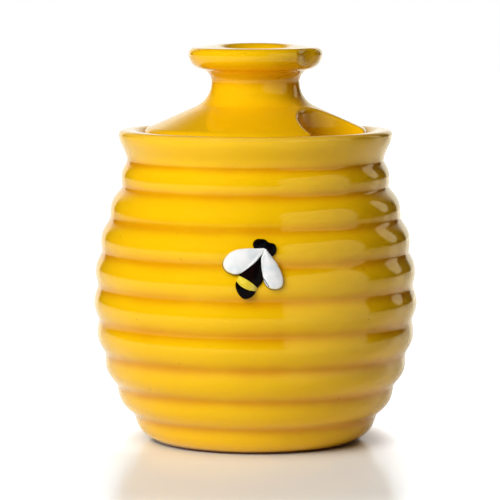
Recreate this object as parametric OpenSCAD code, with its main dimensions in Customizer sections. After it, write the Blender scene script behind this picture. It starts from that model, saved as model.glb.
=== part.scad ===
// Stoneware honey pot shaped like a straw hive, with a lift-off lid and a bee in relief.
// Millimetres. Z is the jar's own axis, z = 0 is the table, and the bee looks along -Y.

/* [Jar] */
// Height from the table to the top of the rim
jar_h = 99.8; // [88:0.1:115]
// Radius of the widest groove
belly_r = 50.9; // [46:0.1:58]
// Height of the widest groove level
belly_z = 45.6; // [38:0.1:50]
// Bend radius of the wall above the belly
bend_up = 84.6; // [70:0.1:120]
// Bend radius of the wall below the belly
bend_low = 65.9; // [58:0.1:90]
// Number of straw rings, the narrow one under the rim included
ring_count = 9; // [5:1:14]
// How far a ring swells out of its grooves
ring_swell = 1.1; // [0.3:0.05:2.5]
// How far the narrow ring under the rim swells
top_ring_swell = 0.9; // [0.2:0.05:2]
// Height of the narrow ring under the rim
top_ring_h = 8.4; // [5:0.1:11]
// Softness of the grooves between rings, 0 is a sharp crease
groove_soft = 0.3; // [0.1:0.05:1]
// Thickness of the wall
wall_t = 4.5; // [3:0.1:7]
// Thickness of the floor
floor_t = 5.5; // [4:0.1:9]
// Width of the ring that the jar stands on
foot_w = 5; // [3:0.1:10]
// Depth of the hollow inside that ring
foot_hollow = 1.5; // [0.5:0.1:3]

/* [Rim and lid seat] */
// Outer radius of the rim
rim_r = 43.9; // [41:0.1:47]
// Radius of the groove under the rim
neck_r = 41.3; // [39:0.1:44]
// Height of the flared rim above that groove
rim_h = 9.9; // [8:0.1:13]
// Thickness of the rim beside the lid
rim_t = 6.7; // [5:0.1:8]
// Outer rounding of the rim's top
rim_round_out = 1.5; // [0.5:0.1:2]
// Inner rounding of the rim's top
rim_round_in = 2.8; // [1:0.1:3]
// Depth of the lid's ledge under the rim's top
seat_depth = 4.8; // [3.5:0.1:6]
// Width of the ledge
seat_w = 5; // [3.5:0.1:7]
// Thickness of the ledge
seat_t = 4; // [2.5:0.1:6]

/* [Lid] */
// Gap between the lid's edge and the rim
lid_gap = 1.6; // [0.8:0.1:3]
// Gap between the lid's collar and the ledge
collar_gap = 0.8; // [0.4:0.1:2]
// How far the collar reaches below the ledge's face
collar_h = 4; // [2:0.1:7]
// Thickness of the collar
collar_t = 3.6; // [2.5:0.1:5]
// Thickness of the lid's shell
lid_t = 4.5; // [3:0.1:6]
// Height of the lid's edge up to the centre of its rounding
edge_h = 3.4; // [2.8:0.1:6]
// Rounding of the lid's edge
edge_round = 2.5; // [1:0.1:2.7]
// Slope of the lid's roof
roof_slope = 24; // [15:1:32]
// Radius of the sweep from the roof up to the neck
neck_sweep = 8.5; // [4:0.1:9]

/* [Knob] */
// Radius of the neck at its waist
waist_r = 14.2; // [12:0.1:16]
// Height of the straight part of the waist
waist_h = 0.1; // [0:0.1:5]
// Radius of the sweep from the waist out to the knob
under_sweep = 4; // [2.5:0.1:6]
// Greatest radius of the knob
knob_r = 21.4; // [19:0.1:25]
// Roundness of the knob's underside
knob_round_low = 5; // [3:0.1:6]
// Roundness of the knob's shoulder
knob_round_top = 2; // [1:0.1:3]
// Radius of the highest circle on the knob
crest_r = 13.9; // [12:0.1:16]
// Height of that circle above the shoulder
crest_h = 0.5; // [0.1:0.1:1.5]
// Radius of the hollow in the knob
well_r = 8.7; // [6:0.1:10]
// Depth of the hollow in the knob
well_depth = 11; // [8:0.1:13]

/* [Notch for the honey dipper] */
// Radius of the notch in the lid
notch_r = 14.3; // [8:0.1:16]
// Reach of the notch from the lid's edge towards the neck
notch_reach = 15.6; // [8:0.1:17]
// Direction of the notch, counted from +X
notch_az = -36.5; // [-180:0.5:180]

/* [Bee] */
// Place of the bee's middle, in rings counted up from the foot
bee_ring = 5.9; // [3:0.1:8]
// Lean of the bee's head to the right
bee_lean = 24; // [-90:1:90]
// Length of the body behind its widest place
tail_l = 5; // [4:0.1:9]
// Length of the body before its widest place
breast_l = 8; // [7:0.1:9]
// Distance of the widest place behind the bee's middle
body_back = 3.5; // [2:0.1:5]
// Width of the body
body_w = 7.8; // [5:0.1:10]
// Height of the body above the rings
body_rise = 1.5; // [0.8:0.1:2.5]
// Distance of the yellow band behind the bee's middle
band_back = 4.1; // [3:0.1:5]
// Length of the yellow band
band_l = 2.4; // [1:0.1:3]
// Radius of one lobe of the head
lobe_r = 1.95; // [1.4:0.05:2.6]
// Distance between the two lobes
lobe_gap = 3.9; // [2.6:0.1:5]
// Distance of the head before the bee's middle
head_ahead = 7.7; // [6:0.1:9]
// Length of a wing
wing_l = 12.6; // [8:0.1:15]
// Width of a wing
wing_w = 6.7; // [4:0.1:8]
// Distance of the wing's root before the bee's middle
wing_ahead = 6; // [4:0.1:7]
// Angle of a wing, counted from the body's axis
wing_splay = 138; // [110:1:150]
// Height of a wing's middle above the rings
wing_rise = 1.9; // [1.5:0.1:3]
// Height of a wing's border above the rings
wing_border = 1.1; // [0.5:0.1:1.4]

/* [Hidden] */
$fn = 180;
glaze = "#f6bd16";
black_glaze = "#17100c";
white_glaze = "#f3f1ea";
band_glaze = "#f0d545";
ring_steps = 12;
arc_steps = 8;
cut = 200;

// Levels and radii of the rim, its ledge and the jar's mouth
neck_z = jar_h - rim_h;
shoulder_z = neck_z - top_ring_h;
seat_z = jar_h - seat_depth;
seat_r = rim_r - rim_t;
mouth_r = seat_r - seat_w;
throat_r = neck_r - wall_t;

// The wall's arc, measured along its own length from the belly, up is positive
shoulder_s = arc_length(bend_up, shoulder_z - belly_z);
foot_s = -arc_length(bend_low, belly_z);
ring_pitch = (shoulder_s - foot_s) / (ring_count - 1);
foot_r = wall_point(foot_s)[0];
floor_bend = bend_low - wall_t;
floor_s = -asin((belly_z - floor_t) / floor_bend) * bend_low * PI / 180;

// The lid's edge, roof, waist and knob, each tangent to the next
lid_r = seat_r - lid_gap;
collar_r = mouth_r - collar_gap;
collar_z = seat_z - collar_h;
hollow_r = collar_r - collar_t;
edge_c = [lid_r - edge_round, seat_z + edge_h];
roof_start = edge_c + edge_round * [sin(roof_slope), cos(roof_slope)];
sweep_c = [waist_r + neck_sweep, roof_z(waist_r + neck_sweep) + neck_sweep / cos(roof_slope)];
under_c = [waist_r + under_sweep, sweep_c[1] + waist_h];
knob_dx = knob_r - knob_round_low - under_c[0];
knob_dz = sqrt(pow(knob_round_low + under_sweep, 2) - knob_dx * knob_dx);
knob_c = under_c + [knob_dx, knob_dz];
knob_turn = atan2(knob_dz, knob_dx);
shoulder_top = [knob_r - knob_round_top, knob_c[1] + knob_round_top];
crest_z = shoulder_top[1] + crest_h;
lip_round = crest_r - well_r;
well_round = well_depth - lip_round;
well_z = crest_z - well_depth;
core_r = waist_r - lid_t;
core_z = well_z - lid_t;
notch_d = lid_r - notch_reach + notch_r;

// The bee's body is a spindle laid into the wall
body_sink = (body_w * body_w / 4 - body_rise * body_rise) / (2 * body_rise);
body_r = body_sink + body_rise;
sink_share = sqrt(1 - pow(body_sink / body_r, 2));
wing_drop = wing_rise - wing_border;
wing_dome = (wing_l * wing_l / 4 + wing_drop * wing_drop) / (2 * wing_drop);

function arc_length(bend, rise) = bend * asin(rise / bend) * PI / 180;

// Points of an arc from angle a to angle b
function arc(c, r, a, b, n = arc_steps) =
    [for (i = [0:n]) c + r * [cos(a + (b - a) * i / n), sin(a + (b - a) * i / n)]];

// A point of the wall's outline at length s, moved out of the groove line by out
function wall_point(s, out = 0) =
    let (bend = s < 0 ? bend_low : bend_up, a = s / bend * 180 / PI)
    [belly_r - bend + (bend + out) * cos(a), belly_z + (bend + out) * sin(a)];

// A ring's outline, 0 in its grooves at u = 0 and u = 1, and 1 at its crest
function swell(u) =
    let (low = groove_soft, top = sqrt(1 + low * low))
    (sqrt(pow(sin(180 * u), 2) + low * low) - low) / (top - low);

// The rings from the foot up to the shoulder
function ring_points() = [
    for (k = [0:ring_count - 2], i = [0:ring_steps - 1])
        let (u = i / ring_steps, p = wall_point(foot_s + ring_pitch * (k + u), ring_swell * swell(u)))
        [p[0], max(p[1], 0)]
];

// The narrow ring between the shoulder and the groove under the rim
function top_ring_points() =
    let (a = wall_point(shoulder_s), d = [neck_r, neck_z] - a, out = [d[1], -d[0]] / norm(d))
    [for (i = [0:ring_steps]) let (u = i / ring_steps) a + d * u + out * top_ring_swell * swell(u)];

// The flare from that groove out to the rim
function flare_points() = [
    for (i = [1:arc_steps])
        let (t = i / arc_steps)
        [neck_r + (rim_r - neck_r) * (1 - cos(180 * t)) / 2, neck_z + (rim_h - rim_round_out) * t]
];

function roof_z(r) = roof_start[1] + (roof_start[0] - r) * tan(roof_slope);

function under_roof_z(r) = roof_z(r) - lid_t / cos(roof_slope);

// Half the outline of the bee's body, t runs from its widest place towards the head
function body_radius(t) = body_r * sqrt(max(0, 1 - pow(t * sink_share / (t < 0 ? tail_l : breast_l), 2)));

// A wing's outline, with its root at the origin and its tip along +X
function wing_points() = [
    for (a = [0:10:350])
        [wing_l * pow((1 - cos(a)) / 2, 0.69), wing_w / 2 * sin(a)]
];

module jar_outline() {
    polygon(concat(
        [[0, foot_hollow], [foot_r - foot_w, foot_hollow], [foot_r - foot_w + foot_hollow, 0]],
        ring_points(),
        top_ring_points(),
        flare_points(),
        arc([rim_r - rim_round_out, jar_h - rim_round_out], rim_round_out, 10, 90),
        arc([seat_r + rim_round_in, jar_h - rim_round_in], rim_round_in, 90, 180),
        [[seat_r, seat_z], [mouth_r, seat_z], [mouth_r, seat_z - seat_t]],
        [[throat_r, seat_z - seat_t - (throat_r - mouth_r)]],
        [for (i = [0:24]) wall_point(shoulder_s + (floor_s - shoulder_s) * i / 24, -wall_t)],
        [[0, floor_t]]
    ));
}

// The jar's outer form without its inside, which the bee is seated on
module jar_block() {
    rotate_extrude($fn = 360)
        polygon(concat([[0, 0]], ring_points(), [wall_point(shoulder_s), [0, shoulder_z]]));
}

module jar() {
    color(glaze)
        rotate_extrude()
            jar_outline();
}

module lid_outline() {
    polygon(concat(
        [[0, collar_z], [collar_r, collar_z], [collar_r, seat_z], [lid_r, seat_z]],
        arc(edge_c, edge_round, 0, 90 - roof_slope),
        arc(sweep_c, neck_sweep, 270 - roof_slope, 180),
        arc(under_c, under_sweep, 180, knob_turn),
        arc(knob_c, knob_round_low, knob_turn - 180, 0),
        arc([shoulder_top[0], knob_c[1]], knob_round_top, 0, 90),
        arc([crest_r, crest_z - lip_round], lip_round, 90, 180),
        arc([well_r - well_round, well_z + well_round], well_round, 0, -90),
        [[0, well_z]]
    ));
}

// The hollow under the roof, up into the neck
module lid_hollow_outline() {
    polygon([
        [0, collar_z - cut], [hollow_r, collar_z - cut], [hollow_r, under_roof_z(hollow_r)],
        [core_r, under_roof_z(core_r)], [core_r, core_z], [0, core_z]
    ]);
}

module notch_cut(wall = 0) {
    rotate([0, 0, notch_az])
        translate([notch_d, 0, -cut])
            cylinder(r = notch_r + wall, h = 3 * cut);
}

module lid() {
    color(glaze)
        difference() {
            rotate_extrude()
                lid_outline();
            difference() {
                rotate_extrude()
                    lid_hollow_outline();
                notch_cut(lid_t);
            }
            notch_cut();
        }
}

// Places its children on the wall beside the bee's middle: side is right of its body, ahead is
// towards its head. Their +Z points out of the wall and their +Y along the body.
module on_wall(side = 0, ahead = 0) {
    right = side * cos(bee_lean) + ahead * sin(bee_lean);
    up = ahead * cos(bee_lean) - side * sin(bee_lean);
    s = foot_s + ring_pitch * bee_ring + up;
    p = wall_point(s, ring_swell);
    tilt = s / (s < 0 ? bend_low : bend_up) * 180 / PI;
    rotate([0, 0, right / p[0] * 180 / PI])
        translate([0, -p[0], p[1]])
            rotate([90 - tilt, 0, 0])
                rotate([0, 0, -bee_lean])
                    children();
}

// A slice of the bee's body between two places, counted forward from its widest place
module body_slice(from, to, steps) {
    on_wall(0, -body_back)
        translate([0, 0, -body_sink])
            rotate([-90, 0, 0])
                rotate_extrude()
                    polygon(concat(
                        [[0, from]],
                        [for (i = [0:steps]) let (t = from + (to - from) * i / steps) [body_radius(t), t]],
                        [[0, to]]
                    ));
}

module head_form() {
    for (side = [-1:1:1])
        on_wall(side * lobe_gap / 2, head_ahead - (side == 0 ? lobe_r / 6 : 0))
            translate([0, 0, -lobe_r / 4])
                sphere(r = lobe_r, $fn = 64);
}

// One wing, side is -1 for the left one and 1 for the right one
module wing_form(side) {
    middle = wing_l / 2;
    difference() {
        on_wall(side * middle * sin(wing_splay), wing_ahead + middle * cos(wing_splay))
            rotate([0, 0, 90 - side * wing_splay])
                intersection() {
                    translate([-middle, 0, -wing_l])
                        linear_extrude(height = 2 * wing_l)
                            polygon(wing_points());
                    translate([0, 0, wing_rise - wing_dome])
                        sphere(r = wing_dome);
                }
        on_wall()
            translate([side > 0 ? -cut : 0, -cut / 2, -cut / 2])
                cube(cut);
    }
}

module bee_head() {
    color(black_glaze)
        difference() {
            head_form();
            jar_block();
            wing_form(-1);
            wing_form(1);
        }
}

module bee_breast() {
    color(black_glaze)
        difference() {
            body_slice(body_back - band_back, breast_l, 14);
            jar_block();
            head_form();
            wing_form(-1);
            wing_form(1);
        }
}

module bee_band() {
    color(band_glaze)
        difference() {
            body_slice(body_back - band_back - band_l, body_back - band_back, 4);
            jar_block();
            wing_form(-1);
            wing_form(1);
        }
}

module bee_tail() {
    color(black_glaze)
        difference() {
            body_slice(-tail_l / sink_share, body_back - band_back - band_l, 10);
            jar_block();
        }
}

module bee_left_wing() {
    color(white_glaze)
        difference() {
            wing_form(-1);
            jar_block();
        }
}

module bee_right_wing() {
    color(white_glaze)
        difference() {
            wing_form(1);
            jar_block();
        }
}

jar();
lid();
bee_head();
bee_breast();
bee_band();
bee_tail();
bee_left_wing();
bee_right_wing();
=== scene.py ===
"""The looks of a glazed honey pot: a jar thrown in rings like a straw hive, its loose lid with a
knob and a notch for the dipper, and a bee in relief on the front.

Shapes are worked out in millimetres in the CAD frame and become metres when a mesh is made.
"""

import math

import bpy
import numpy as np
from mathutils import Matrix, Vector


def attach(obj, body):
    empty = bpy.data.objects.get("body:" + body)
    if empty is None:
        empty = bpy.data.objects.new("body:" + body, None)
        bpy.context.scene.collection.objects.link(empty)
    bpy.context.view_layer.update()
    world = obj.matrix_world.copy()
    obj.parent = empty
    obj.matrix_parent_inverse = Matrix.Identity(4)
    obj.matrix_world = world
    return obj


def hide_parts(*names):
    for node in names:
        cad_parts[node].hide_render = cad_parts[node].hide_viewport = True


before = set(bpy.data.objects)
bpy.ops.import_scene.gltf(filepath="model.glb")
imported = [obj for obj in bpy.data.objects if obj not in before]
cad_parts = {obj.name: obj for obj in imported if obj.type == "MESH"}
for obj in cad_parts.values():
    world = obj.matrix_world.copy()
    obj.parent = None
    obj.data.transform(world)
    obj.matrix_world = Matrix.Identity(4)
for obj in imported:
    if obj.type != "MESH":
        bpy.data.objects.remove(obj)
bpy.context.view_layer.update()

MM = 0.001

# ---------------------------------------------------------------- sizes in mm, as in the CAD source

JAR_H = 99.8
BELLY_R, BELLY_Z = 50.9, 45.6
BEND_UP, BEND_LOW = 84.6, 65.9
RING_COUNT, RING_SWELL, TOP_RING_SWELL, GROOVE_SOFT = 9, 1.1, 0.9, 0.3
WALL_T, FLOOR_T, FOOT_W, FOOT_HOLLOW = 4.5, 5.5, 5.0, 1.5
NECK_R, NECK_Z = 41.3, 89.9
SHOULDER_Z = 81.5
RIM_R, RIM_ROUND_OUT, RIM_ROUND_IN = 43.9, 1.5, 2.8
SEAT_R, SEAT_Z, SEAT_T, MOUTH_R = 37.2, 95.0, 4.0, 32.2
THROAT_R = NECK_R - WALL_T

LID_R, LID_T, EDGE_ROUND, ROOF_SLOPE = 35.6, 4.5, 2.5, math.radians(24)
EDGE_C = (33.1, 98.4)
COLLAR_R, COLLAR_Z, HOLLOW_R = 31.4, 91.0, 27.8
SWEEP_C, NECK_SWEEP = (22.7, 115.07), 8.5
UNDER_C, UNDER_SWEEP = (18.2, 115.17), 4.0
KNOB_C, KNOB_R, KNOB_LOW, KNOB_TOP = (16.4, 123.99), 21.4, 5.0, 2.0
CREST_R, CREST_Z = 13.0, 126.49
LIP_ROUND, WELL_ROUND, WELL_R, WELL_Z = 4.3, 5.8, 8.7, 115.49
CORE_R, CORE_Z = 9.7, 110.99
NOTCH_R, NOTCH_D, NOTCH_AZ = 14.3, 34.3, math.radians(-36.5)

BEE_RING, BEE_LEAN = 5.9, math.radians(24)

# ---------------------------------------------------------------- sizes that only the dressed part has

CREST_LEAN = 0.044  # how much the rim of the knob's well rises per mm towards the back
LID_CELL, HEAD_CELL = 0.55, 0.13  # the size of the lid's and the bee's head's faces
AROUND, RING_STEPS = 240, 26  # the jar's faces round it, and up each ring
WING_RISE, WING_BORDER = 1.9, 1.1  # a wing's height at its middle and at its edge
WING_ROLL, SEAM_CUT = 0.62, 0.16  # how far a wing's edge rolls down, and how deep its seam is cut
HEAD_BLEND, HEAD_SINK = 0.22, 0.3  # how softly the head's lobes join, and how deep they sit
SKIRT = 1.5  # how far the bee's parts run into the wall


# ---------------------------------------------------------------- the wall's outline


def wall_point(s, out=0.0):
    """Radius, height and tilt of the wall at length s above the belly, moved out by out."""
    bend = BEND_LOW if s < 0 else BEND_UP
    a = s / bend
    return BELLY_R - bend + (bend + out) * math.cos(a), BELLY_Z + (bend + out) * math.sin(a), a


SHOULDER_S = BEND_UP * math.asin((SHOULDER_Z - BELLY_Z) / BEND_UP)
FOOT_S = -BEND_LOW * math.asin(BELLY_Z / BEND_LOW)
RING_PITCH = (SHOULDER_S - FOOT_S) / (RING_COUNT - 1)
BEE_S = FOOT_S + RING_PITCH * BEE_RING


def swell(u):
    """0 in the grooves at u = 0 and u = 1, and 1 on the crest between them."""
    low, top = GROOVE_SOFT, math.hypot(1, GROOVE_SOFT)
    return (math.hypot(math.sin(math.pi * u), low) - low) / (top - low)


def arc(centre, radius, start, end, steps):
    """Points of an arc from angle start to angle end, in degrees."""
    turn = np.radians(np.linspace(start, end, steps + 1))
    return np.column_stack([centre[0] + radius * np.cos(turn), centre[1] + radius * np.sin(turn)])


def rows(points, pool=0.0, thin=0.0):
    """Outline points with how thick the glaze pools there and how thin it has run."""
    points = np.atleast_2d(np.array(points, float))
    marks = np.column_stack([np.broadcast_to(pool, len(points)), np.broadcast_to(thin, len(points))])
    return np.column_stack([points, marks])


def jar_outline():
    """The jar's closed outline from the middle of its base round to the middle of its floor."""
    foot_r = wall_point(FOOT_S)[0]
    inner_foot = foot_r - FOOT_W
    parts = [
        rows([[0, FOOT_HOLLOW], [inner_foot * 0.5, FOOT_HOLLOW], [inner_foot - 1.2, FOOT_HOLLOW]]),
        rows(arc((inner_foot - 1.2, FOOT_HOLLOW - 0.8), 0.8, 80, 20, 4)),
        rows(arc((inner_foot + 1.5, 0.7), 0.7, 200, 270, 5)),
        rows([[inner_foot + FOOT_W * 0.6, 0.0]]),
    ]
    ring = []
    for k in range(RING_COUNT - 1):
        for i in range(RING_STEPS):
            u = i / RING_STEPS
            r, z, _ = wall_point(FOOT_S + RING_PITCH * (k + u), RING_SWELL * swell(u))
            if z > 0.55:
                ring.append([r, z, (1 - swell(u)) ** 1.5, 0.35 * swell(u) ** 4])
    r0, z0 = ring[0][:2]
    parts.append(rows(arc((r0 - 1.25, 0.9), 0.9, 272, 330, 5)))
    parts.append(np.array(ring))
    base = np.array(wall_point(SHOULDER_S)[:2])
    along = np.array([NECK_R, NECK_Z]) - base
    out = np.array([along[1], -along[0]]) / np.linalg.norm(along)
    for i in range(23):
        u = i / 22
        point = base + along * u + out * TOP_RING_SWELL * swell(u)
        parts.append(rows(point, (1 - swell(u)) ** 1.5, 0.35 * swell(u) ** 4))
    rise = JAR_H - NECK_Z - RIM_ROUND_OUT
    for i in range(1, 15):
        t = i / 14
        flare = NECK_R + (RIM_R - NECK_R) * (1 - math.cos(math.pi * t)) / 2
        parts.append(rows([flare, NECK_Z + rise * t], max(0, 0.8 - 3 * t), max(0, 4 * t - 3.4)))
    parts += [
        rows(arc((RIM_R - RIM_ROUND_OUT, JAR_H - RIM_ROUND_OUT), RIM_ROUND_OUT, 8, 90, 9), thin=1),
        rows(arc((SEAT_R + RIM_ROUND_IN, JAR_H - RIM_ROUND_IN), RIM_ROUND_IN, 92, 180, 10), thin=0.5),
        rows(arc((SEAT_R - 0.7, SEAT_Z + 0.7), 0.7, 0, -90, 5), pool=0.9),
        rows(arc((MOUTH_R + 0.7, SEAT_Z - 0.7), 0.7, 90, 180, 5), thin=0.9),
        rows(arc((MOUTH_R + 0.7, SEAT_Z - SEAT_T + 0.7), 0.7, 180, 225, 3), thin=0.6),
        rows([[THROAT_R, SEAT_Z - SEAT_T - (THROAT_R - MOUTH_R)]]),
    ]
    floor_bend = BEND_LOW - WALL_T
    floor_s = -math.asin((BELLY_Z - FLOOR_T - 3.2) / floor_bend) * BEND_LOW
    inner = [wall_point(s, -WALL_T)[:2] for s in np.linspace(SHOULDER_S, floor_s, 46)]
    r1, z1 = inner[-1]
    parts.append(rows(inner))
    parts.append(rows(arc((r1 - 4.3, FLOOR_T + 3.2), 3.2, -20, -90, 6), pool=0.6))
    parts.append(rows([[18, FLOOR_T], [8, FLOOR_T], [0, FLOOR_T]], pool=0.3))
    return np.concatenate(parts)


# ---------------------------------------------------------------- meshes


def make_mesh(name, points, faces, marks=None):
    """A smooth mesh from points in millimetres, with its glaze marks as attributes."""
    mesh = bpy.data.meshes.new(name)
    mesh.from_pydata((np.asarray(points) * MM).tolist(), [], faces)
    mesh.validate()
    mesh.shade_smooth()
    for mark, values in (marks or {}).items():
        layer = mesh.attributes.new(mark, "FLOAT", "POINT")
        layer.data.foreach_set("value", np.asarray(values, np.float32))
    piece = bpy.data.objects.new(name, mesh)
    bpy.context.scene.collection.objects.link(piece)
    return piece


def turn_on_wheel(name, outline, around=AROUND):
    """Turns an outline about the jar's axis. Its first and last rows lie on the axis."""
    turn = np.arange(around) / around * 2 * math.pi
    points, marks, first = [[0, 0, outline[0][1]]], [outline[0][2:]], []
    for r, z, *mark in outline[1:-1]:
        first.append(len(points))
        points += np.column_stack([r * np.sin(turn), -r * np.cos(turn), np.full(around, z)]).tolist()
        marks += [mark] * around
    last = len(points)
    points.append([0, 0, outline[-1][1]])
    marks.append(outline[-1][2:])
    beside = [(i, (i + 1) % around) for i in range(around)]
    faces = [(0, first[0] + j, first[0] + i) for i, j in beside]
    for low, high in zip(first, first[1:]):
        faces += [(low + i, low + j, high + j, high + i) for i, j in beside]
    faces += [(last, first[-1] + i, first[-1] + j) for i, j in beside]
    marks = np.array(marks, float)
    return make_mesh(name, points, faces, {"pool": marks[:, 0], "thin": marks[:, 1]})


# ---------------------------------------------------------------- the lid, carved by distance


def round_join(a, b, radius):
    """Distance to what two forms share, with the edge between them rounded."""
    out = np.hypot(np.maximum(a + radius, 0), np.maximum(b + radius, 0))
    return out + np.minimum(np.maximum(a + radius, b + radius), 0) - radius


def outline_distance(outline, r, z):
    """Signed distance, negative inside, from (r, z) to an open outline that ends on the axis."""
    best = np.full(r.shape, 1e9)
    inside = np.zeros(r.shape, bool)
    for (ar, az), (br, bz) in zip(outline[:-1], outline[1:]):
        dr, dz = br - ar, bz - az
        t = np.clip(((r - ar) * dr + (z - az) * dz) / max(dr * dr + dz * dz, 1e-12), 0, 1)
        best = np.minimum(best, (r - ar - t * dr) ** 2 + (z - az - t * dz) ** 2)
        crosses = (az > z) != (bz > z)
        if abs(dz) > 1e-12:
            inside ^= crosses & (r < ar + (z - az) / dz * dr)
    return np.where(inside, -1, 1) * np.sqrt(best)


def roof_z(r):
    """Height of the lid's straight roof at a radius."""
    start = (EDGE_C[0] + EDGE_ROUND * math.sin(ROOF_SLOPE), EDGE_C[1] + EDGE_ROUND * math.cos(ROOF_SLOPE))
    return start[1] + (start[0] - r) * math.tan(ROOF_SLOPE)


def lid_outline():
    """The lid's turned outline from the middle of its underside round to the middle of the well."""
    slope = math.degrees(ROOF_SLOPE)
    dx, dz = KNOB_C[0] - UNDER_C[0], KNOB_C[1] - UNDER_C[1]
    turn = math.degrees(math.atan2(dz, dx))
    return np.concatenate([
        [[0, COLLAR_Z]],
        arc((COLLAR_R - 1.0, COLLAR_Z + 1.0), 1.0, -90, 0, 6),
        [[COLLAR_R + 0.6, SEAT_Z]],
        arc((LID_R - 0.7, SEAT_Z + 0.7), 0.7, -90, 0, 5),
        arc(EDGE_C, EDGE_ROUND, 0, 90 - slope, 12),
        arc(SWEEP_C, NECK_SWEEP, 270 - slope, 180, 22),
        arc(UNDER_C, UNDER_SWEEP, 180, turn, 14),
        arc(KNOB_C, KNOB_LOW, turn - 180, 0, 24),
        arc((KNOB_R - KNOB_TOP, KNOB_C[1]), KNOB_TOP, 0, 90, 10),
        arc((CREST_R, CREST_Z - LIP_ROUND), LIP_ROUND, 90, 180, 16),
        arc((WELL_R - WELL_ROUND, WELL_Z + WELL_ROUND), WELL_ROUND, 0, -90, 14),
        [[0, WELL_Z]],
    ])


def hollow_outline():
    """The hollow under the lid's roof, open below, with the shell's thickness left above it."""
    under = LID_T / math.cos(ROOF_SLOPE)
    return np.array([
        [0, COLLAR_Z - 60], [HOLLOW_R, COLLAR_Z - 60], [HOLLOW_R, roof_z(HOLLOW_R) - under],
        [CORE_R, roof_z(CORE_R) - under], [CORE_R, CORE_Z], [0, CORE_Z],
    ])


LID_OUTLINE, HOLLOW_OUTLINE = lid_outline(), hollow_outline()
NOTCH_X, NOTCH_Y = NOTCH_D * math.cos(NOTCH_AZ), NOTCH_D * math.sin(NOTCH_AZ)


def lid_distance(p):
    """Distance to the lid: its turned form less its hollow, and less the notch, edges rounded.
    The rim of the knob's well stands a little higher at the back."""
    r = np.hypot(p[:, 0], p[:, 1])
    lean = CREST_LEAN * p[:, 1] * np.clip((19 - r) / 5, 0, 1) * np.clip((p[:, 2] - 118) / 6, 0, 1)
    body = outline_distance(LID_OUTLINE, r, p[:, 2] - lean)
    hollow = outline_distance(HOLLOW_OUTLINE, r, p[:, 2])
    notch = NOTCH_R - np.hypot(p[:, 0] - NOTCH_X, p[:, 1] - NOTCH_Y)
    hollow = round_join(hollow, notch + LID_T, 1.5)
    return round_join(round_join(body, -hollow, 0.8), notch, 0.9)


def settle(points, distance, times=5):
    """Moves points straight onto the surface where the distance is 0."""
    step = 0.02
    for _ in range(times):
        here = distance(points)
        slope = np.empty_like(points)
        for axis in range(3):
            shift = np.zeros(3)
            shift[axis] = step
            slope[:, axis] = (distance(points + shift) - distance(points - shift)) / (2 * step)
        size = np.maximum((slope**2).sum(1), 0.25)
        points = points - np.clip(here / size, -0.6, 0.6)[:, None] * slope
    return points


def even_mesh(node, cell):
    """Points and quads of a CAD node's own form, in even cells of that size."""
    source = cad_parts[node]
    copy = bpy.data.objects.new("copy", source.data.copy())
    bpy.context.scene.collection.objects.link(copy)
    remesh = copy.modifiers.new("cells", "REMESH")
    remesh.mode, remesh.voxel_size = "VOXEL", cell * MM
    ready = copy.evaluated_get(bpy.context.evaluated_depsgraph_get()).to_mesh()
    points = np.zeros(len(ready.vertices) * 3)
    ready.vertices.foreach_get("co", points)
    faces = [tuple(f.vertices) for f in ready.polygons]
    mesh = copy.data
    bpy.data.objects.remove(copy)
    bpy.data.meshes.remove(mesh)
    return points.reshape(-1, 3) / MM, faces


def make_lid():
    """The lid, with its glaze pooled, and painted darker as shade, where its neck narrows under the knob, and thin on
    the notch's edge and the well's rim.
    """
    points, faces = even_mesh("lid", LID_CELL)
    points = settle(points, lid_distance)
    r = np.hypot(points[:, 0], points[:, 1])
    notch = np.abs(np.hypot(points[:, 0] - NOTCH_X, points[:, 1] - NOTCH_Y) - NOTCH_R)
    under_roof = outline_distance(LID_OUTLINE, r, points[:, 2])
    thin = np.clip(1 - np.abs(notch - 0.2) / 0.9, 0, 1) * np.clip(1 + under_roof / 0.9, 0, 1)
    # Partly real, partly painted shade: glaze pools where the neck narrows under the knob, and this band is also
    # darkened as the shade under the knob's overhang.
    waist_pool_and_shade = np.exp(-(((points[:, 2] - 116.2) / 2.6) ** 2)) * (r < 20)
    crest = np.exp(-(((r - CREST_R) / 1.6) ** 2)) * (points[:, 2] > CREST_Z - 1)
    return make_mesh("glazed_lid", points, faces, {
        "pool": np.clip(waist_pool_and_shade * 0.6, 0, 1), "thin": np.clip(thin + crest * 0.6, 0, 1)})


# ---------------------------------------------------------------- the bee


def on_wall(side, ahead):
    """A place on the wall, given to the right of the bee's middle and along its body, and the
    way straight out of the wall there."""
    right = side * math.cos(BEE_LEAN) + ahead * math.sin(BEE_LEAN)
    up = ahead * math.cos(BEE_LEAN) - side * math.sin(BEE_LEAN)
    r, z, tilt = wall_point(BEE_S + up, RING_SWELL)
    turn = right / r
    out = np.array([math.cos(tilt) * math.sin(turn), -math.cos(tilt) * math.cos(turn), math.sin(tilt)])
    return np.array([r * math.sin(turn), -r * math.cos(turn), z]), out


def even_ring(points, count):
    """A smooth closed line through the points, in even steps, turning left as it goes."""
    points = np.array(points, float)
    after = np.roll(points, -1, 0)
    before, later = np.roll(points, 1, 0), np.roll(points, -2, 0)
    t = np.linspace(0, 1, 24, endpoint=False)[None, :, None]
    a, b, c, d = (q[:, None, :] for q in (before, points, after, later))
    line = 0.5 * (2 * b + (c - a) * t + (2 * a - 5 * b + 4 * c - d) * t**2 + (3 * b - a - 3 * c + d) * t**3)
    line = line.reshape(-1, 2)
    if (line[:, 0] * np.roll(line[:, 1], -1) - line[:, 1] * np.roll(line[:, 0], -1)).sum() < 0:
        line = line[::-1]
    closed = np.vstack([line, line[:1]])
    run = np.concatenate([[0], np.cumsum(np.linalg.norm(np.diff(closed, axis=0), axis=1))])
    at = np.linspace(0, run[-1], count, endpoint=False)
    return np.column_stack([np.interp(at, run, closed[:, k]) for k in range(2)])


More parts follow.
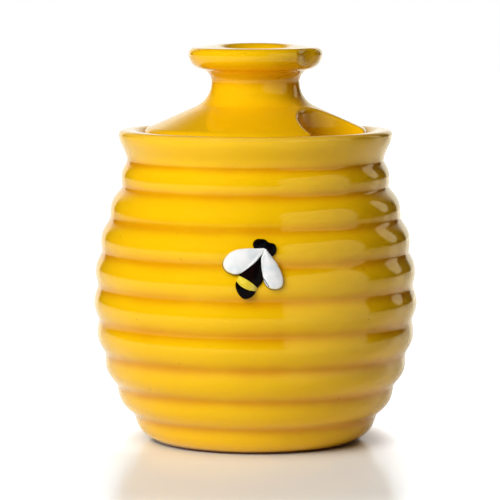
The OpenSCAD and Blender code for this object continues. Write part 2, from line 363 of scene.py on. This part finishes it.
def raise_on_wall(places, heights):
    """Points at a height over places (side, ahead) of the curved wall."""
    points = []
    for (side, ahead), height in zip(places, heights):
        place, out = on_wall(side, ahead)
        points.append(place + out * height)
    return np.array(points)


def make_relief(name, outline, height, marks, rings=32):
    """A raised form over a closed outline: height(places, share) from its middle, share 0, to its
    edge, share 1, and then a skirt into the wall."""
    middle, around = outline.mean(0), len(outline)
    shares = np.sin(np.pi / 2 * np.arange(1, rings + 1) / rings)
    inner = [middle + (outline - middle) * share for share in shares]
    places = np.vstack([middle[None], *inner, outline, middle[None]])
    share = np.concatenate([[0], np.repeat(shares, around), np.full(around + 1, 1.0)])
    heights = height(places, share)
    heights[-around - 1 :] = -SKIRT
    beside = [(i, (i + 1) % around) for i in range(around)]
    faces = [(0, 1 + i, 1 + j) for i, j in beside]
    for ring in range(rings):
        low = 1 + ring * around
        faces += [(low + i, low + around + i, low + around + j, low + j) for i, j in beside]
    low = 1 + rings * around
    faces += [(low + i, len(places) - 1, low + j) for i, j in beside]
    return make_mesh(name, raise_on_wall(places, heights), faces, marks(places, share, outline))


# The bee's body in rows from tail to head: the row's left and right end, how far it sags towards
# the tail, and how high it stands. The yellow band lies between rows 4 and 5.
BODY_ROWS = np.array([
    (-0.5, -9.45, 0.6, -9.45, 0.05, 0.15), (-2.1, -8.7, 1.6, -8.75, 0.45, 1.0),
    (-3.3, -7.6, 2.3, -7.8, 0.75, 1.3), (-3.9, -6.5, 2.6, -6.8, 0.9, 1.45),
    (-4.05, -5.5, 2.7, -5.8, 0.85, 1.55), (-4.0, -3.7, 2.75, -4.75, -0.35, 1.6),
    (-3.8, -1.8, 3.3, -2.6, -0.2, 1.6), (-3.0, 0.8, 2.9, 0.0, -0.2, 1.5),
    (-2.2, 3.4, 2.0, 2.8, -0.2, 1.35), (-0.8, 5.4, 0.9, 5.0, 0.0, 0.9),
])


def body_row(t):
    """One row of the body, between the written ones by a smooth line."""
    k = min(int(t), len(BODY_ROWS) - 2)
    t -= k
    before, here, after, later = (BODY_ROWS[min(max(k + n, 0), len(BODY_ROWS) - 1)] for n in (-1, 0, 1, 2))
    return 0.5 * (2 * here + (after - before) * t + (2 * before - 5 * here + 4 * after - later) * t**2
                  + (3 * here - before - 3 * after + later) * t**3)


def body_height(places):
    """Roughly how high the body stands at places of the wall."""
    lefts, rights, rise = BODY_ROWS[:, 0], BODY_ROWS[:, 2], BODY_ROWS[:, 5]
    ahead = (BODY_ROWS[:, 1] + BODY_ROWS[:, 3]) / 2
    left, right = (np.interp(places[:, 1], ahead, ends) for ends in (lefts, rights))
    across = (places[:, 0] - (left + right) / 2) / ((right - left) / 2)
    return np.interp(places[:, 1], ahead, rise) * np.sqrt(np.clip(1 - across**2, 0, 1))


def make_body_part(name, start, end, round_start, round_end, steps=22, across=36):
    """The part of the body between two rows, rounded down a little where its glaze meets the next."""
    places, heights = [], []
    turn = np.pi * np.arange(across + 1) / across
    for t in np.linspace(start, end, steps + 1):
        lx, ly, rx, ry, sag, rise = body_row(t)
        near = min((t - start) / 0.22 if round_start else 9, (end - t) / 0.22 if round_end else 9)
        rise -= 0.22 * max(0.0, 1 - near) ** 2
        q = -np.cos(turn)
        x = (lx + rx) / 2 + q * (rx - lx) / 2
        y = (ly + ry) / 2 + q * (ry - ly) / 2 - sag * (1 - q**2)
        places += [(x[0], y[0]), *zip(x, y), (x[-1], y[-1])]
        heights += [-SKIRT, *(rise * np.sin(turn)), -SKIRT]
    row = across + 3
    faces = []
    for i in range(steps):
        for k in range(row):
            a, b = i * row + k, i * row + (k + 1) % row
            faces.append((a, b, b + row, a + row))
    faces.append(tuple(range(row))[::-1])
    faces.append(tuple(range(steps * row, (steps + 1) * row)))
    return make_mesh(name, raise_on_wall(places, heights), faces)


LEFT_WING = [
    (0.0, 6.9), (-1.2, 6.6), (-2.6, 5.9), (-4.2, 5.25), (-5.8, 4.5), (-7.4, 3.5), (-8.7, 2.3), (-9.6, 0.9),
    (-10.1, -0.7), (-10.1, -2.1), (-9.7, -3.2), (-8.8, -4.0), (-7.5, -4.4), (-6.0, -4.35), (-4.7, -3.9), (-3.6, -3.0),
    (-2.75, -1.7), (-2.0, -0.3), (-1.3, 1.1), (-0.8, 2.3), (-0.35, 3.9), (0.0, 5.4),
]
RIGHT_WING = [
    (0.1, 6.9), (1.8, 6.2), (3.3, 5.35), (4.8, 4.5), (6.2, 3.5), (7.6, 2.3), (8.7, 1.0), (9.4, -0.4), (9.5, -1.6),
    (8.9, -2.6), (7.8, -3.3), (6.5, -3.6), (5.1, -3.4), (3.8, -2.5), (2.8, -1.2), (1.75, 0.4), (0.8, 2.2), (0.05, 3.9),
    (0.0, 5.4),
]


def make_wing(name, corners, seam=None):
    """A petal of white glaze that lies on the body and the wall. A seam is a fine dark line in it."""
    outline = even_ring(corners, 180)

    def beside_seam(places):
        if seam is None:
            return np.full(len(places), 9.0)
        start, end = np.array(seam)
        t = np.clip((places - start) @ (end - start) / ((end - start) @ (end - start)), 0, 1)
        return np.linalg.norm(places - start - t[:, None] * (end - start), axis=1)

    def height(places, share):
        dome = WING_RISE - (WING_RISE - WING_BORDER) * share**2.2
        over = body_height(places) + 0.45 * (body_height(places) > 0)
        top = np.logaddexp(dome * 6, over * 6) / 6
        roll = np.clip((share - 0.86) / 0.14, 0, 1)
        top = top - WING_ROLL * (1 - np.sqrt(np.clip(1 - roll**2, 0, 1)))
        return top - SEAM_CUT * np.exp(-((beside_seam(places) / 0.13) ** 2))

    def marks(places, share, outline):
        away = outline - outline.mean(0)
        turn = np.tile(np.arctan2(away[:, 1], away[:, 0]), len(share) // len(outline))
        turn = np.concatenate([[0], turn, [0]])[: len(share)]
        # Painted shadow: on its lower, shaded side the wing's edge is coloured dark brown, as the shadow the raised
        # wing casts.
        below = np.clip(np.cos(turn + math.radians(95)) * 1.6, 0, 1)
        free = np.clip((np.abs(places[:, 0]) - 3.0) / 3.0, 0, 1)
        return {"edge": share * (0.88 + 0.12 * free), "lip": np.clip((share - 0.935) / 0.03, 0, 1) * below,
                "seam": np.exp(-((beside_seam(places) / 0.15) ** 2))}

    return make_relief(name, outline, height, marks)


HEAD_BALLS = [(-2.35, 7.35, 1.8), (-1.2, 8.05, 1.6), (0.3, 7.8, 1.35), (1.65, 7.9, 1.65), (2.0, 7.0, 1.5)]


def make_head(name):
    """Two lobes, the left one larger, that run together."""
    balls = []
    for side, ahead, radius in HEAD_BALLS:
        place, out = on_wall(side, ahead)
        balls.append((place - out * HEAD_SINK, radius))

    def distance(p):
        near = sum(np.exp((radius - np.linalg.norm(p - c, axis=1)) / HEAD_BLEND) for c, radius in balls)
        return -HEAD_BLEND * np.log(near)

    points, faces = even_mesh("bee_head", HEAD_CELL)
    return make_mesh(name, settle(points, distance, 6), faces)


# ---------------------------------------------------------------- glazes


class Glaze:
    """A value or colour in a glaze's recipe. Sums and products of values become Math nodes."""

    def __init__(self, tree, socket):
        self.tree, self.socket = tree, socket

    def node(self, kind, settings=None, out=0, **values):
        """Any node: its settings first, then the values or links of its sockets by name."""
        made = self.tree.nodes.new(kind)
        for key, value in (settings or {}).items():
            setattr(made, key, value)
        for key, value in values.items():
            place = int(key[1:]) if key[0] == "_" else key.replace("_", " ")
            if isinstance(value, Glaze):
                self.tree.links.new(value.socket, made.inputs[place])
            elif value is not None:
                made.inputs[place].default_value = value
        return Glaze(self.tree, made.outputs[out])

    def math(self, operation, *values):
        """One Math node over its values."""
        sockets = {f"_{i}": value for i, value in enumerate(values)}
        return self.node("ShaderNodeMath", {"operation": operation}, **sockets)

    def __add__(self, other):
        return self.math("ADD", self, other)

    __radd__ = __add__

    def __sub__(self, other):
        return self.math("SUBTRACT", self, other)

    def __rsub__(self, other):
        return self.math("SUBTRACT", other, self)

    def __mul__(self, other):
        return self.math("MULTIPLY", self, other)

    __rmul__ = __mul__

    def __truediv__(self, other):
        return self.math("DIVIDE", self, other)

    def __pow__(self, other):
        return self.math("POWER", self, other)

    def parts(self):
        """The x, y and z of a vector."""
        split = self.tree.nodes.new("ShaderNodeSeparateXYZ")
        self.tree.links.new(self.socket, split.inputs[0])
        return [Glaze(self.tree, split.outputs[i]) for i in range(3)]

    def feed(self, socket):
        self.tree.links.new(self.socket, socket)

    def between(self, low, high):
        """0 below low, 1 above high, smooth in between."""
        smooth = {"interpolation_type": "SMOOTHSTEP"}
        return self.node("ShaderNodeMapRange", smooth, Value=self, From_Min=low, From_Max=high)

    def blend(self, first, second, share):
        """The first colour at share 0, and the second at share 1."""
        return self.node("ShaderNodeMix", {"data_type": "RGBA"}, out=2, _0=share, _6=first, _7=second)


def linear(hex_colour):
    """A written colour as the shader's own numbers."""
    values = [int(hex_colour[i : i + 2], 16) / 255 for i in (1, 3, 5)]
    return (*[v / 12.92 if v <= 0.04045 else ((v + 0.055) / 1.055) ** 2.4 for v in values], 1)


def start_glaze(name):
    """A new material, its nodes, its shader and the place on the piece."""
    material = bpy.data.materials.new(name)
    material.use_nodes = True
    tree = material.node_tree
    shader = tree.nodes["Principled BSDF"]
    place = Glaze(tree, tree.nodes.new("ShaderNodeTexCoord").outputs["Object"])
    return material, tree, shader, place


def surface(place, wave, wave_depth, pit_depth):
    """The skin of a glaze: slow waves, a fine orange peel and small pits."""
    waves = place.node("ShaderNodeTexNoise", Vector=place, Scale=wave, Detail=1.5, Roughness=0.4)
    peel = place.node("ShaderNodeTexNoise", Vector=place, Scale=900.0, Detail=2.0, Roughness=0.5)
    pits = place.node("ShaderNodeTexVoronoi", Vector=place, Scale=260.0, Randomness=1.0)
    spread = place.node("ShaderNodeTexNoise", Vector=place, Scale=120.0, Detail=1.0)
    holes = (1 - pits.between(0.03, 0.11)) * spread.between(0.60, 0.66)
    height = waves * wave_depth + peel * 0.012 - holes * pit_depth
    normal = place.node("ShaderNodeBump", Strength=1.0, Distance=MM, Height=height)
    return peel, holes, normal


def yellow_glaze():
    """Golden glaze: deeper where it pools in the grooves and runs down, paler where it is thin, with
    brown flecks, pits, and at the foot the unglazed clay, painted dark brown as the shade where the foot meets the
    table."""
    material, tree, shader, place = start_glaze("golden_glaze")
    peel, holes, normal = surface(place, 55.0, 0.16, 0.25)
    pool = place.node("ShaderNodeAttribute", {"attribute_name": "pool"}, out=2)
    thin = place.node("ShaderNodeAttribute", {"attribute_name": "thin"}, out=2)
    clouds = place.node("ShaderNodeTexNoise", Vector=place, Scale=38.0, Detail=3.0, Roughness=0.55)
    streaks = place.node("ShaderNodeMapping", Vector=place, Scale=(70.0, 70.0, 9.0))
    runs = place.node("ShaderNodeTexNoise", Vector=streaks, Scale=1.0, Detail=2.0)
    thick = (pool * 0.75 + (clouds - 0.5) * 0.55 + (runs - 0.5) * 0.3).between(0.0, 1.0)
    colour = place.blend(linear("#FDCF0D"), linear("#E6A006"), thick)
    worn = (thin * (0.75 + clouds * 0.5)).between(0.35, 1.15)
    colour = place.blend(colour, linear("#FBD255"), worn * 0.75)
    fleck = place.node("ShaderNodeTexVoronoi", Vector=place, Scale=150.0, Randomness=1.0)
    flecks = (1 - fleck.between(0.02, 0.06)) * clouds.between(0.52, 0.6)
    colour = place.blend(colour, linear("#9A6410"), flecks * 0.5 + holes * 0.35)
    _, _, up = place.parts()
    # Partly real, partly painted shade: the foot is unglazed and rougher, and its clay is painted dark brown as the
    # shade where it meets the table.
    bare_foot_and_contact_shade = 1 - (up - clouds * 0.0004).between(0.0004, 0.0011)
    colour = place.blend(colour, linear("#6B3208"), bare_foot_and_contact_shade)
    colour.feed(shader.inputs["Base Color"])
    rough = 0.055 + peel * 0.03 + thick * 0.02 + holes * 0.2 + bare_foot_and_contact_shade * 0.5
    rough.feed(shader.inputs["Roughness"])
    normal.feed(shader.inputs["Normal"])
    shader.inputs["IOR"].default_value = 1.6
    shader.inputs["Specular Tint"].default_value = (1.0, 0.9, 0.35, 1)
    shader.inputs["Coat Weight"].default_value = 1.0
    shader.inputs["Coat Roughness"].default_value = 0.05
    shader.inputs["Coat IOR"].default_value = 1.2
    shader.inputs["Coat Tint"].default_value = (1.0, 0.92, 0.66, 1)
    return material


def white_glaze():
    """White glaze of the wings, creamy near the edge, with a painted shadow in dark brown along the lower edge, and
    the seam's line.
    """
    material, tree, shader, place = start_glaze("white_wing_glaze")
    peel, _, normal = surface(place, 240.0, 0.10, 0.06)
    edge = place.node("ShaderNodeAttribute", {"attribute_name": "edge"}, out=2)
    clouds = place.node("ShaderNodeTexNoise", Vector=place, Scale=420.0, Detail=3.0)
    colour = place.blend(linear("#FBFCFE"), linear("#EAF1F5"), clouds.between(0.35, 0.7))
    lip = place.node("ShaderNodeAttribute", {"attribute_name": "lip"}, out=2)
    seam = place.node("ShaderNodeAttribute", {"attribute_name": "seam"}, out=2)
    rim = (edge + (clouds - 0.5) * 0.06).between(0.84, 0.95)
    colour = place.blend(colour, linear("#F2DF9A"), rim)
    # Painted shadow: dark brown along the wing's lower, shaded edge.
    colour = place.blend(colour, linear("#4A370F"), lip)
    colour = place.blend(colour, linear("#2A1A14"), seam.between(0.35, 0.8))
    colour.feed(shader.inputs["Base Color"])
    (0.08 + peel * 0.05).feed(shader.inputs["Roughness"])
    normal.feed(shader.inputs["Normal"])
    return material


def dark_glaze():
    """Black glaze of the bee's head, breast and tail, a little brown in places."""
    material, tree, shader, place = start_glaze("black_body_glaze")
    peel, _, normal = surface(place, 260.0, 0.10, 0.06)
    clouds = place.node("ShaderNodeTexNoise", Vector=place, Scale=300.0, Detail=3.0)
    colour = place.blend(linear("#030306"), linear("#140806"), clouds.between(0.4, 0.7))
    colour.feed(shader.inputs["Base Color"])
    (0.06 + peel * 0.04).feed(shader.inputs["Roughness"])
    normal.feed(shader.inputs["Normal"])
    shader.inputs["Specular IOR Level"].default_value = 0.05
    return material


def band_glaze():
    """Pale yellow glaze of the bee's band."""
    material, tree, shader, place = start_glaze("pale_yellow_band_glaze")
    peel, _, normal = surface(place, 260.0, 0.10, 0.05)
    clouds = place.node("ShaderNodeTexNoise", Vector=place, Scale=520.0, Detail=3.0)
    colour = place.blend(linear("#F3DE4A"), linear("#E4C92E"), clouds.between(0.35, 0.7))
    colour.feed(shader.inputs["Base Color"])
    (0.10 + peel * 0.05).feed(shader.inputs["Roughness"])
    normal.feed(shader.inputs["Normal"])
    return material


# ---------------------------------------------------------------- pieces


def finish_piece(piece, node, body, material):
    """Glazes a piece, hangs it on the body it rides on, and hides the CAD node it stands for."""
    piece.data.materials.append(material)
    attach(piece, body)
    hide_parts(node)


golden, white, black, pale = yellow_glaze(), white_glaze(), dark_glaze(), band_glaze()
finish_piece(turn_on_wheel("glazed_jar", jar_outline()), "jar", "jar", golden)
finish_piece(make_lid(), "lid", "lid", golden)
finish_piece(make_head("bee_glazed_head"), "bee_head", "jar", black)
finish_piece(make_body_part("bee_glazed_breast", 5, 9, True, False, 60), "bee_breast", "jar", black)
finish_piece(make_body_part("bee_glazed_band", 4, 5, True, True), "bee_band", "jar", pale)
finish_piece(make_body_part("bee_glazed_tail", 0, 4, False, True, 60), "bee_tail", "jar", black)
finish_piece(make_wing("bee_glazed_left_wing", LEFT_WING), "bee_left_wing", "jar", white)
seam = [(2.8, -1.2), (5.7, -3.1)]
finish_piece(make_wing("bee_glazed_right_wing", RIGHT_WING, seam), "bee_right_wing", "jar", white)


# ---------------------------------------------------------------- floor, light and camera


TABLE_HALF = 3000  # mm
TABLE_WHITE = (0.94, 0.98, 1.0, 1)
TABLE_ROUGH, TABLE_GLOSS = 0.14, 0.68
# Painted light: the glow behind the pot lights up its cast shadow, and the lift brightens the floor close round it.
TABLE_SHADOW_FILL_GLOW, TABLE_PAINTED_LIFT = 0.75, 0.08  # how white it glows behind the pot, and close round it
TABLE_FADE = (0.10, 0.20)  # metres from the pot's axis over which it turns plain white
BACK_GLOSS, ROOM_GLOSS = 1.0, 0.02  # how bright the gloss sees the backdrop and the dark room
BACK_EDGE, BACK_TOP = 150, (15, 38)  # degrees: where the backdrop starts, and where it ends above
# Screens that only the gloss sees: strength, then side, height, half width, half height, how
# square, and how soft.
SCREENS = [
    (1.0, (54, 15, 34, 23, 4, 0.05)),
    (1.0, (124.5, 17, 8, 14, 2.2, 0.10)),
]
SKY_COLOUR, SKY_STRENGTH = (1.0, 0.46, 0.2, 1), 0.055
LAMP_SIZE, LAMP_AWAY, LAMP_AIM = 1.0, 1.6, 0.06  # metres: side, distance, and the height it looks at
LAMPS = [
    ("soft_screen_left_front", -42, 30, 21.5, (1.0, 1.0, 0.98)),
    ("soft_screen_above_left", -30, 55, 5.0, (1.0, 1.0, 0.98)),
    ("soft_screen_behind", 165, 12, 9.0, (1.0, 0.95, 0.86)),
]
SENSOR, FOCAL_PIXELS, PICTURE_PIXELS = 36.0, 2952, 500
CAMERA_PLACE, CAMERA_DIP = (-0.00176, -0.9447, 0.1542), 5.639  # metres, and degrees below level


def paint_floor():
    """White table: it takes the pot's shadow and mirrors it softly at a low angle. What the eye and the gloss see of
    it turns plain white further out, and a painted glow lights up the pot's cast shadow behind and beside the pot."""
    material = bpy.data.materials.new("white_table")
    material.use_nodes = True
    tree = material.node_tree
    tree.nodes.clear()
    ways = tree.nodes.new("ShaderNodeLightPath")
    kinds = ("Camera", "Glossy", "Transmission")
    camera, glossy, clear = (Glaze(tree, ways.outputs[f"Is {kind} Ray"]) for kind in kinds)
    place = Glaze(tree, tree.nodes.new("ShaderNodeTexCoord").outputs["Object"])
    right, back, _ = place.parts()
    seen = place.math("MAXIMUM", place.math("MAXIMUM", camera, glossy * 0.3), clear)
    away = place.node("ShaderNodeVectorMath", {"operation": "LENGTH"}, out=1, _0=place)
    # Painted light: a glow behind and beside the pot, and a small lift close round it, brighten the floor where the
    # pot's cast shadow falls.
    behind = back.between(-0.036, 0.01) * away.between(0.034, 0.052)
    white = place.math("MAXIMUM", behind * TABLE_SHADOW_FILL_GLOW, away.between(*TABLE_FADE))
    beside = right.math("ABSOLUTE", right).between(0.036, 0.05)
    white = white + away.between(0.034, 0.052) * (beside * 0.3 + TABLE_PAINTED_LIFT)
    matt = place.node("ShaderNodeBsdfDiffuse", Color=TABLE_WHITE)
    sheen = place.node("ShaderNodeBsdfGlossy", Color=(1, 1, 1, 1), Roughness=TABLE_ROUGH)
    grazing = place.node("ShaderNodeFresnel", IOR=1.45)
    board = place.node("ShaderNodeMixShader", _0=grazing * TABLE_GLOSS, _1=matt, _2=sheen)
    glow = place.node("ShaderNodeEmission", Color=(1, 1, 1, 1), Strength=seen * white)
    both = place.node("ShaderNodeAddShader", _0=board, _1=glow)
    out = tree.nodes.new("ShaderNodeOutputMaterial")
    both.feed(out.inputs["Surface"])
    return material


def make_floor():
    corners = [[x * TABLE_HALF, y * TABLE_HALF, 0] for x, y in ((-1, -1), (1, -1), (1, 1), (-1, 1))]
    floor = make_mesh("table_top", corners, [(0, 1, 2, 3)])
    floor.data.materials.append(paint_floor())


def light_world():
    """White behind the pot for the eye, and for its gloss a studio: white behind, a bright screen
    to the front right, a small one to the right, and a dark room elsewhere."""
    world = bpy.data.worlds.new("studio")
    bpy.context.scene.world = world
    world.use_nodes = True
    tree = world.node_tree
    tree.nodes.clear()
    ways = tree.nodes.new("ShaderNodeLightPath")
    toward = Glaze(tree, tree.nodes.new("ShaderNodeTexCoord").outputs["Generated"])
    x, y, z = toward.parts()
    side = x.math("ARCTAN2", x, y * -1.0) * (180 / math.pi)
    height = z.math("ARCSINE", z) * (180 / math.pi)
    away = side.math("ABSOLUTE", side)

    def screen(middle, level, wide, tall, square, soft):
        """A screen about a side and a height in degrees: square 2 is an oval, and more is boxier."""
        across = ((side - middle).math("ABSOLUTE", (side - middle)) / wide) ** square
        up = ((height - level).math("ABSOLUTE", (height - level)) / tall) ** square
        return 1 - ((across + up) ** (1 / square)).between(1 - soft, 1 + soft)

    spread = height.between(6, 30) * 24 + 3
    backdrop = away.between(BACK_EDGE - spread, BACK_EDGE + spread) * (1 - height.between(*BACK_TOP))
    room = backdrop * BACK_GLOSS + ROOM_GLOSS
    for strength, place in SCREENS:
        room = room + screen(*place) * strength
    glossy = Glaze(tree, ways.outputs["Is Glossy Ray"])
    eye, clear = (Glaze(tree, ways.outputs[f"Is {way} Ray"]) for way in ("Camera", "Transmission"))
    seen = x.math("MAXIMUM", eye, clear)
    sky = room.node("ShaderNodeBackground", Color=SKY_COLOUR, Strength=SKY_STRENGTH)
    gloss = room.node("ShaderNodeBackground", Color=(1, 1, 1, 1), Strength=room)
    white_sky = room.node("ShaderNodeBackground", Color=(1, 1, 1, 1), Strength=1.0)
    mixed = room.node("ShaderNodeMixShader", _0=glossy, _1=sky, _2=gloss)
    mixed = room.node("ShaderNodeMixShader", _0=seen, _1=mixed, _2=white_sky)
    out = tree.nodes.new("ShaderNodeOutputWorld")
    mixed.feed(out.inputs["Surface"])


def hang_lamp(name, side, height, power, colour):
    """A soft square screen that faces the pot. Side and height are in degrees, side 0 is the front
    and 90 the right. The gloss sees the world's screens in place of it."""
    lamp = bpy.data.lights.new(name, "AREA")
    lamp.shape, lamp.size = "SQUARE", LAMP_SIZE
    lamp.energy, lamp.color = power, colour
    hung = bpy.data.objects.new(name, lamp)
    a, e = math.radians(side), math.radians(height)
    toward = Vector((math.sin(a) * math.cos(e), -math.cos(a) * math.cos(e), math.sin(e)))
    hung.location = toward * LAMP_AWAY + Vector((0, 0, LAMP_AIM))
    hung.rotation_euler = (-toward).to_track_quat("-Z", "Y").to_euler()
    hung.visible_glossy = False
    bpy.context.scene.collection.objects.link(hung)


def set_camera():
    camera = bpy.data.cameras.new("camera")
    camera.sensor_width, camera.lens = SENSOR, FOCAL_PIXELS * SENSOR / PICTURE_PIXELS
    camera.clip_start, camera.clip_end = 0.05, 60
    seat = bpy.data.objects.new("camera", camera)
    seat.location = CAMERA_PLACE
    seat.rotation_euler = (math.radians(90 - CAMERA_DIP), 0, 0)
    bpy.context.scene.collection.objects.link(seat)
    bpy.context.scene.camera = seat


make_floor()
light_world()
for lamp in LAMPS:
    hang_lamp(*lamp)
set_camera()
bpy.context.scene.view_settings.view_transform = "Standard"
